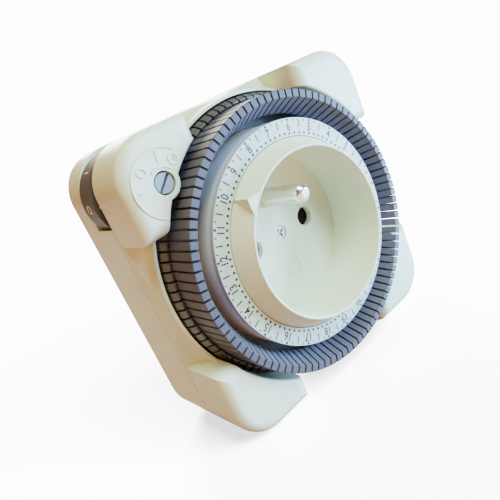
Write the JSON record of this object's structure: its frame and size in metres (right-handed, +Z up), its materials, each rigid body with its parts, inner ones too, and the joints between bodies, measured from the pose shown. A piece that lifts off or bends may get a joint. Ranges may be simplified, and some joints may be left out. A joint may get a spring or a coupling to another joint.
{
  "type": "plug-in timer switch",
  "caption": "Mechanical 24-hour plug-in timer with a round socket, a ring of quarter-hour tappets, a rotary override wheel and a round plug behind.",
  "frame": {"origin": "centre between the two plug pins on the face of the plug", "axes": "+Y points into the wall along the plug pins, -Y is the dial side, +Z points up with the earth pin above the centre, +X is to the right seen from the front"},
  "size_m": [0.075, 0.0735, 0.0742],
  "materials": {
    "housing_white": "fine satin moulded plastic, warm white",
    "scale_white": "printed off-white scale with dark grey marks",
    "tappet_grey": "satin blue-grey moulded plastic",
    "dial_grey": "satin grey moulded plastic",
    "wheel_grey": "satin dark grey moulded plastic",
    "steel": "bright steel",
    "nickel": "nickel-plated brass",
    "contact_brass": "stamped brass strip",
    "copper_coil": "enamelled copper winding",
    "rotor_black": "dark ferrite rotor with plastic pinion",
    "gear_white": "natural acetal gear plastic",
    "inner_grey": "dark moulded thermoset",
    "shutter_dark": "natural moulded plastic"
  },
  "bodies": {
    "housing": {"rear_housing": "housing_white", "front_housing": "housing_white", "socket_collar": "housing_white", "socket_floor": "housing_white", "socket_screw": "steel", "earth_pin": "nickel", "contact_block": "inner_grey", "contact_clip_line": "contact_brass", "contact_clip_neutral": "contact_brass", "plug_pin_line": "nickel", "plug_pin_neutral": "nickel", "earth_clips": "nickel", "earth_receptacle": "contact_brass", "earth_bridge": "contact_brass", "busbar_line": "contact_brass", "busbar_load": "contact_brass", "busbar_neutral": "contact_brass", "housing_screws": "steel", "motor_can": "steel", "motor_coil": "copper_coil", "gear_plate": "steel", "gear_shafts": "steel", "lever_pivot": "steel", "fixed_contact": "contact_brass", "detent_spring": "steel", "shutter_spring": "steel"},
    "dial": {"dial_ring": "dial_grey", "dial_scale": "scale_white"},
    "dial_drive": {"dial_pinion": "gear_white"},
    "rotor": {"motor_rotor": "rotor_black"},
    "train_1": {"gear_1": "gear_white"},
    "train_2": {"gear_2": "gear_white"},
    "clutch": {"clutch_gear": "gear_white"},
    "lever": {"switch_lever": "inner_grey"},
    "leaf": {"moving_contact": "contact_brass"},
    "override": {"override_wheel": "wheel_grey"},
    "shutter_slide_body": {"shutter": "shutter_dark"},
    "tappets_00_02_body": {"tappets_00_02": "tappet_grey"},
    "tappets_02_04_body": {"tappets_02_04": "tappet_grey"},
    "tappets_04_06_body": {"tappets_04_06": "tappet_grey"},
    "tappets_06_08_body": {"tappets_06_08": "tappet_grey"},
    "tappets_08_10_body": {"tappets_08_10": "tappet_grey"},
    "tappets_10_12_body": {"tappets_10_12": "tappet_grey"},
    "tappets_12_14_body": {"tappets_12_14": "tappet_grey"},
    "tappets_14_16_body": {"tappets_14_16": "tappet_grey"},
    "tappets_16_18_body": {"tappets_16_18": "tappet_grey"},
    "tappets_18_20_body": {"tappets_18_20": "tappet_grey"},
    "tappets_20_22_body": {"tappets_20_22": "tappet_grey"},
    "tappets_22_24_body": {"tappets_22_24": "tappet_grey"}
  },
  "joints": [
    {"name": "dial_spin", "type": "hinge", "parent": "housing", "child": "dial", "pos_m": [0, 0, 0], "axis": [0, -1, 0], "continuous": true},
    {"name": "dial_pinion_spin", "type": "hinge", "parent": "housing", "child": "dial_drive", "pos_m": [0.00448, 0, -0.02541], "axis": [0, -1, 0], "continuous": true},
    {"name": "motor_spin", "type": "hinge", "parent": "housing", "child": "rotor", "pos_m": [0.02485, 0, -0.006], "axis": [0, -1, 0], "continuous": true},
    {"name": "gear_1_spin", "type": "hinge", "parent": "housing", "child": "train_1", "pos_m": [0.02352, 0, -0.01698], "axis": [0, -1, 0], "continuous": true},
    {"name": "gear_2_spin", "type": "hinge", "parent": "housing", "child": "train_2", "pos_m": [0.01551, 0, -0.02461], "axis": [0, -1, 0], "continuous": true},
    {"name": "clutch_spin", "type": "hinge", "parent": "housing", "child": "clutch", "pos_m": [0.00448, 0, -0.02541], "axis": [0, -1, 0], "continuous": true},
    {"name": "switch_rock", "type": "hinge", "parent": "housing", "child": "lever", "pos_m": [-0.02962, -0.0232, -0.004], "axis": [-1, 0, 0], "range_deg": [0, 8], "stiffness_Nm_per_rad": 0.003, "springref_deg": -5.73},
    {"name": "contact_flex", "type": "hinge", "parent": "housing", "child": "leaf", "pos_m": [-0.02962, -0.02465, -0.024], "axis": [1, 0, 0], "range_deg": [0, 4.6]},
    {"name": "override_turn", "type": "hinge", "parent": "housing", "child": "override", "pos_m": [-0.0279, 0, 0.02599], "axis": [0, -1, 0], "range_deg": [-45, 45]},
    {"name": "shutter_slide", "type": "slide", "parent": "housing", "child": "shutter_slide_body", "axis": [0, 0, -1], "range_m": [0, 0.0066], "stiffness_N_per_m": 60, "springref_m": -0.003, "deforming": ["shutter_spring"]},
    {"name": "tappets_00_02_press", "type": "slide", "parent": "dial", "child": "tappets_00_02_body", "axis": [0, 1, 0], "range_m": [0, 0.0024]},
    {"name": "tappets_02_04_press", "type": "slide", "parent": "dial", "child": "tappets_02_04_body", "axis": [0, 1, 0], "range_m": [0, 0.0024]},
    {"name": "tappets_04_06_press", "type": "slide", "parent": "dial", "child": "tappets_04_06_body", "axis": [0, 1, 0], "range_m": [0, 0.0024]},
    {"name": "tappets_06_08_press", "type": "slide", "parent": "dial", "child": "tappets_06_08_body", "axis": [0, 1, 0], "range_m": [0, 0.0024]},
    {"name": "tappets_08_10_press", "type": "slide", "parent": "dial", "child": "tappets_08_10_body", "axis": [0, 1, 0], "range_m": [0, 0.0024]},
    {"name": "tappets_10_12_press", "type": "slide", "parent": "dial", "child": "tappets_10_12_body", "axis": [0, 1, 0], "range_m": [0, 0.0024]},
    {"name": "tappets_12_14_press", "type": "slide", "parent": "dial", "child": "tappets_12_14_body", "axis": [0, 1, 0], "range_m": [0, 0.0024]},
    {"name": "tappets_14_16_press", "type": "slide", "parent": "dial", "child": "tappets_14_16_body", "axis": [0, 1, 0], "range_m": [0, 0.0024]},
    {"name": "tappets_16_18_press", "type": "slide", "parent": "dial", "child": "tappets_16_18_body", "axis": [0, 1, 0], "range_m": [0, 0.0024]},
    {"name": "tappets_18_20_press", "type": "slide", "parent": "dial", "child": "tappets_18_20_body", "axis": [0, 1, 0], "range_m": [0, 0.0024]},
    {"name": "tappets_20_22_press", "type": "slide", "parent": "dial", "child": "tappets_20_22_body", "axis": [0, 1, 0], "range_m": [0, 0.0024]},
    {"name": "tappets_22_24_press", "type": "slide", "parent": "dial", "child": "tappets_22_24_body", "axis": [0, 1, 0], "range_m": [0, 0.0024]}
  ],
  "couplings": [
    {"joint": "dial_pinion_spin", "follows": "dial_spin", "ratio": 9.6},
    {"joint": "gear_1_spin", "follows": "motor_spin", "ratio": -0.27778},
    {"joint": "gear_2_spin", "follows": "motor_spin", "ratio": 0.07716},
    {"joint": "clutch_spin", "follows": "motor_spin", "ratio": -0.021433},
    {"joint": "contact_flex", "follows": "switch_rock", "ratio": 0.55}
  ]
}
